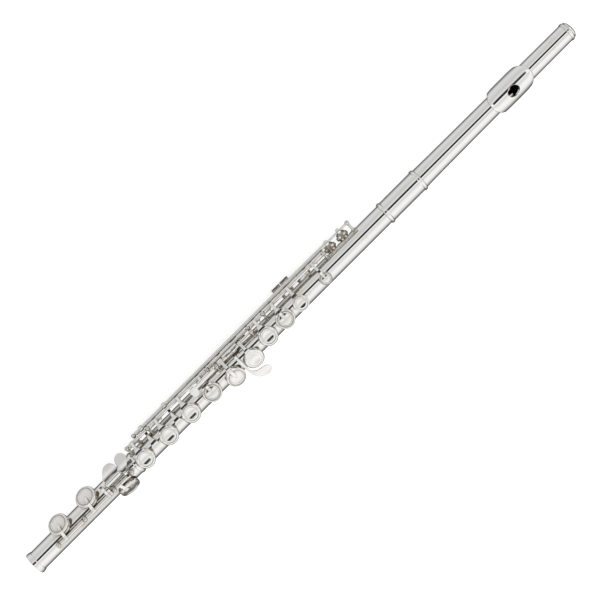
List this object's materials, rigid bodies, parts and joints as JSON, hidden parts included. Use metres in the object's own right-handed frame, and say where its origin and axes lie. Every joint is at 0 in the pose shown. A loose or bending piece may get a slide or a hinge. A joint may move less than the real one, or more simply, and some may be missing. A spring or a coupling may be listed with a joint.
{
  "type": "concert flute",
  "caption": "Transverse concert flute with a C foot, offset G keys and closed key cups, in three slip-fitted joints with hinged padded keys, trill keys, thumb keys and a screw-set head stopper",
  "frame": {"origin": "centre of the open mouth of the foot's bore, where a stand peg enters", "axes": "+X along the tube from the foot to the crown; +Z the way the main tone holes face; +Y toward the player's side, where the hinge rods are"},
  "size_m": [0.6752, 0.0493, 0.0375],
  "materials": {
    "tube_silver": "polished silver plate",
    "head_silver": "polished silver plate",
    "lip_silver": "polished silver plate, lightly worn by the lip",
    "fitting_silver": "polished silver plate on turned fittings",
    "post_silver": "polished silver plate on soldered posts and ribs",
    "key_silver": "polished silver plate, fine handling marks",
    "hinge_steel": "ground steel, lightly oiled",
    "pad_skin": "thin yellowish pad skin over felt",
    "cork": "natural cork"
  },
  "bodies": {
    "body": {"body_tube": "tube_silver", "barrel": "fitting_silver", "body_rib": "post_silver", "body_posts": "post_silver", "main_steels": "hinge_steel", "g_steel": "hinge_steel", "thumb_steel": "hinge_steel", "body_springs": "hinge_steel"},
    "foot": {"foot_tube": "tube_silver", "foot_socket": "fitting_silver", "foot_socket_ring": "fitting_silver", "foot_end_ring": "fitting_silver", "foot_rib": "post_silver", "foot_posts": "post_silver", "foot_steel": "hinge_steel", "foot_springs": "hinge_steel"},
    "head": {"head_tube": "head_silver", "lip_plate": "lip_silver", "embouchure_riser": "lip_silver"},
    "crown_cap": {"crown": "fitting_silver"},
    "stopper": {"stopper_cork": "cork", "stopper_plates": "post_silver", "stopper_screw": "hinge_steel"},
    "low_c": {"low_c_key": "key_silver", "low_c_pad": "pad_skin"},
    "low_c_roller": {"c_roller": "key_silver"},
    "foot_c_sharp": {"foot_c_sharp_key": "key_silver", "foot_c_sharp_pad": "pad_skin"},
    "e_flat": {"e_flat_key": "key_silver", "e_flat_pad": "pad_skin"},
    "d": {"d_key": "key_silver", "d_pad": "pad_skin"},
    "e": {"e_key": "key_silver", "e_pad": "pad_skin"},
    "f": {"f_key": "key_silver", "f_pad": "pad_skin"},
    "f_sharp": {"f_sharp_key": "key_silver", "f_sharp_pad": "pad_skin"},
    "g": {"g_key": "key_silver", "g_pads": "pad_skin"},
    "g_sharp": {"g_sharp_key": "key_silver", "g_sharp_pad": "pad_skin"},
    "a": {"a_key": "key_silver", "a_pad": "pad_skin"},
    "b_flat": {"b_flat_key": "key_silver", "b_flat_pad": "pad_skin"},
    "c": {"c_key": "key_silver", "c_pads": "pad_skin"},
    "side_lever": {"b_flat_lever": "key_silver"},
    "b_thumb": {"b_thumb_key": "key_silver", "b_thumb_pad": "pad_skin"},
    "b_flat_thumb": {"b_flat_thumb_key": "key_silver"},
    "d_trill": {"d_trill_key": "key_silver", "d_trill_pad": "pad_skin"},
    "d_sharp_trill": {"d_sharp_trill_key": "key_silver", "d_sharp_trill_pad": "pad_skin"}
  },
  "joints": [
    {"name": "head_slide", "type": "slide", "parent": "body", "child": "head", "axis": [1, 0, 0], "range_m": [0, 0.02]},
    {"name": "foot_turn", "type": "hinge", "parent": "body", "child": "foot", "pos_m": [0.124, 0, 0], "axis": [1, 0, 0], "range_deg": [-15, 15]},
    {"name": "crown_turn", "type": "hinge", "parent": "head", "child": "crown_cap", "pos_m": [0.668, 0, 0], "axis": [1, 0, 0], "range_deg": [-720, 720]},
    {"name": "stopper_slide", "type": "slide", "parent": "head", "child": "stopper", "axis": [1, 0, 0], "range_m": [-0.0015, 0.0015]},
    {"name": "low_c_hinge", "type": "hinge", "parent": "foot", "child": "low_c", "pos_m": [0.06, 0.00144, 0.01553], "axis": [1, 0, 0], "range_deg": [-9, 0], "stiffness_Nm_per_rad": 0.02, "springref_deg": 14.9},
    {"name": "roller_spin", "type": "hinge", "parent": "low_c", "child": "low_c_roller", "pos_m": [0.1042, 0.00967, 0.01589], "axis": [1, 0, 0], "continuous": true},
    {"name": "foot_c_sharp_hinge", "type": "hinge", "parent": "foot", "child": "foot_c_sharp", "pos_m": [0.078, 0.00144, 0.01553], "axis": [1, 0, 0], "range_deg": [-9, 0], "stiffness_Nm_per_rad": 0.02, "springref_deg": 14.9},
    {"name": "e_flat_hinge", "type": "hinge", "parent": "foot", "child": "e_flat", "pos_m": [0.109, 0.00144, 0.01553], "axis": [1, 0, 0], "range_deg": [-9, 0], "stiffness_Nm_per_rad": 0.02, "springref_deg": 17.19},
    {"name": "d_hinge", "type": "hinge", "parent": "body", "child": "d", "pos_m": [0.144, 0.0166, 0.00451], "axis": [1, 0, 0], "range_deg": [0, 9], "stiffness_Nm_per_rad": 0.02, "springref_deg": -14.9},
    {"name": "e_hinge", "type": "hinge", "parent": "body", "child": "e", "pos_m": [0.17, 0.0166, 0.00451], "axis": [1, 0, 0], "range_deg": [0, 9], "stiffness_Nm_per_rad": 0.02, "springref_deg": -14.9},
    {"name": "f_hinge", "type": "hinge", "parent": "body", "child": "f", "pos_m": [0.194, 0.0166, 0.00451], "axis": [1, 0, 0], "range_deg": [0, 9], "stiffness_Nm_per_rad": 0.02, "springref_deg": -14.9},
    {"name": "f_sharp_hinge", "type": "hinge", "parent": "body", "child": "f_sharp", "pos_m": [0.218, 0.0166, 0.00451], "axis": [1, 0, 0], "range_deg": [0, 9], "stiffness_Nm_per_rad": 0.02, "springref_deg": -14.9},
    {"name": "g_hinge", "type": "hinge", "parent": "body", "child": "g", "pos_m": [0.26, 0.0137, 0.0104], "axis": [1, 0, 0], "range_deg": [0, 9], "stiffness_Nm_per_rad": 0.02, "springref_deg": -14.9},
    {"name": "g_sharp_hinge", "type": "hinge", "parent": "body", "child": "g_sharp", "pos_m": [0.257, 0.0137, 0.0104], "axis": [1, 0, 0], "range_deg": [0, 8], "stiffness_Nm_per_rad": 0.02, "springref_deg": -17.19},
    {"name": "a_hinge", "type": "hinge", "parent": "body", "child": "a", "pos_m": [0.291, 0.0166, 0.00451], "axis": [1, 0, 0], "range_deg": [0, 9], "stiffness_Nm_per_rad": 0.02, "springref_deg": -14.9},
    {"name": "b_flat_hinge", "type": "hinge", "parent": "body", "child": "b_flat", "pos_m": [0.314, 0.0166, 0.00451], "axis": [1, 0, 0], "range_deg": [0, 9], "stiffness_Nm_per_rad": 0.02, "springref_deg": -14.9},
    {"name": "c_hinge", "type": "hinge", "parent": "body", "child": "c", "pos_m": [0.35, 0.0166, 0.00451], "axis": [1, 0, 0], "range_deg": [0, 9], "stiffness_Nm_per_rad": 0.02, "springref_deg": -14.9},
    {"name": "side_lever_hinge", "type": "hinge", "parent": "body", "child": "side_lever", "pos_m": [0.257, 0.0166, 0.00451], "axis": [1, 0, 0], "range_deg": [0, 5], "stiffness_Nm_per_rad": 0.01, "springref_deg": -11.46},
    {"name": "b_thumb_hinge", "type": "hinge", "parent": "body", "child": "b_thumb", "pos_m": [0.343, -0.00676, -0.0145], "axis": [1, 0, 0], "range_deg": [0, 8], "stiffness_Nm_per_rad": 0.05, "springref_deg": -34.38},
    {"name": "b_flat_thumb_hinge", "type": "hinge", "parent": "body", "child": "b_flat_thumb", "pos_m": [0.323, -0.00676, -0.0145], "axis": [1, 0, 0], "range_deg": [0, 8], "stiffness_Nm_per_rad": 0.05, "springref_deg": -34.38},
    {"name": "d_trill_hinge", "type": "hinge", "parent": "body", "child": "d_trill", "pos_m": [0.27, 0.01957, 0.00103], "axis": [1, 0, 0], "range_deg": [0, 10], "stiffness_Nm_per_rad": 0.02, "springref_deg": -17.19},
    {"name": "d_sharp_trill_hinge", "type": "hinge", "parent": "body", "child": "d_sharp_trill", "pos_m": [0.277, 0.01957, 0.00103], "axis": [1, 0, 0], "range_deg": [0, 10], "stiffness_Nm_per_rad": 0.02, "springref_deg": -17.19}
  ],
  "couplings": [
    {"joint": "crown_turn", "follows": "stopper_slide", "rad_per_m": 6283.2},
    {"joint": "f_sharp_hinge", "follows": "f_hinge", "ratio": 1},
    {"joint": "b_flat_hinge", "follows": "a_hinge", "ratio": 1}
  ]
}
